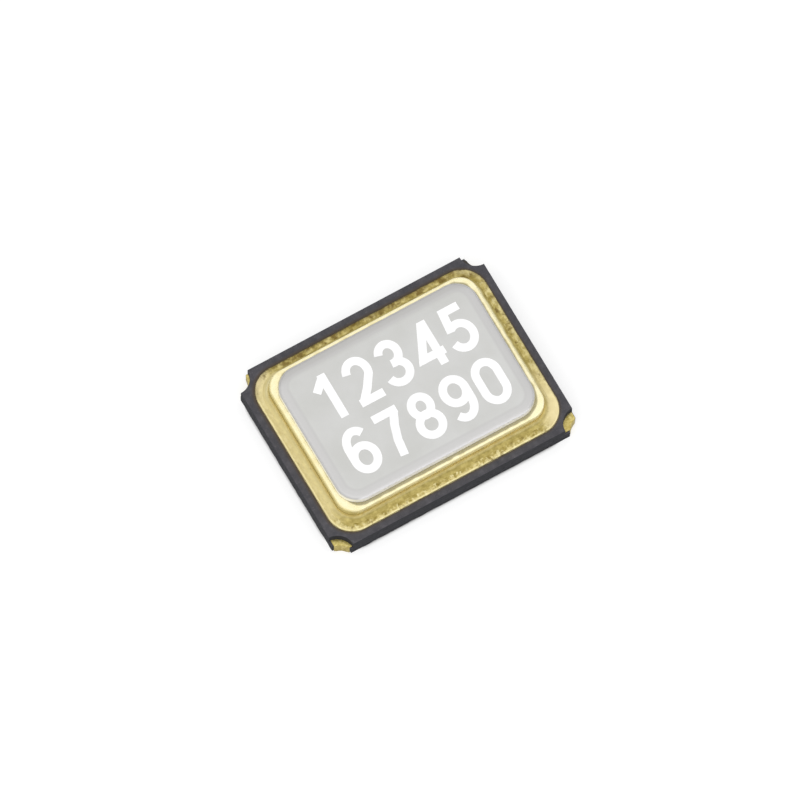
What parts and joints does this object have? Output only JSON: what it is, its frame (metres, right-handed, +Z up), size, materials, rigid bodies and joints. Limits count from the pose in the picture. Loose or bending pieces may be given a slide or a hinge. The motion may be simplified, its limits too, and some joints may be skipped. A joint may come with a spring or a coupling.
{
  "type": "crystal oscillator",
  "caption": "Surface-mount crystal oscillator: dark ceramic base with plated corner notches, gilt seal ring and welded metal lid over a quartz plate and its amplifier chip.",
  "frame": {"origin": "centre of the footprint on the solder plane, which is the underside of the lands", "axes": "+X along the long side, the way the marking reads; +Y across the short side; +Z up through the lid"},
  "size_m": [0.0032, 0.0024, 0.0006],
  "materials": {
    "ceramic": "dark fired alumina, matt",
    "terminal_plating": "gold over nickel on printed metal, satin",
    "lead_plating": "gold over nickel on printed metal, satin",
    "seal_plating": "gold over nickel on printed metal, mottled",
    "braze": "gold-plated silver and copper braze, smooth",
    "ring_plating": "gold-plated iron, nickel and cobalt alloy, bright",
    "lid_nickel": "nickel-plated iron, nickel and cobalt alloy, satin",
    "quartz": "lapped quartz, clear",
    "electrode_gold": "evaporated gold, mirror-smooth",
    "adhesive": "silver-filled silicone, matt",
    "silicon": "polished silicon",
    "bump_gold": "soft gold"
  },
  "bodies": {
    "root": {"adhesive_dot_front": "adhesive", "adhesive_dot_rear": "adhesive", "amplifier_chip": "silicon", "braze_fillet": "braze", "ceramic_base": "ceramic", "chip_bump_1": "bump_gold", "chip_bump_2": "bump_gold", "chip_bump_3": "bump_gold", "chip_bump_4": "bump_gold", "chip_bump_5": "bump_gold", "chip_bump_6": "bump_gold", "crystal_lead_front": "lead_plating", "crystal_lead_rear": "lead_plating", "lid": "lid_nickel", "lower_electrode": "electrode_gold", "quartz_blank": "quartz", "seal_frame": "seal_plating", "seal_ring": "ring_plating", "terminal_enable": "terminal_plating", "terminal_ground": "terminal_plating", "terminal_output": "terminal_plating", "terminal_supply": "terminal_plating", "upper_electrode": "electrode_gold"}
  },
  "joints": []
}
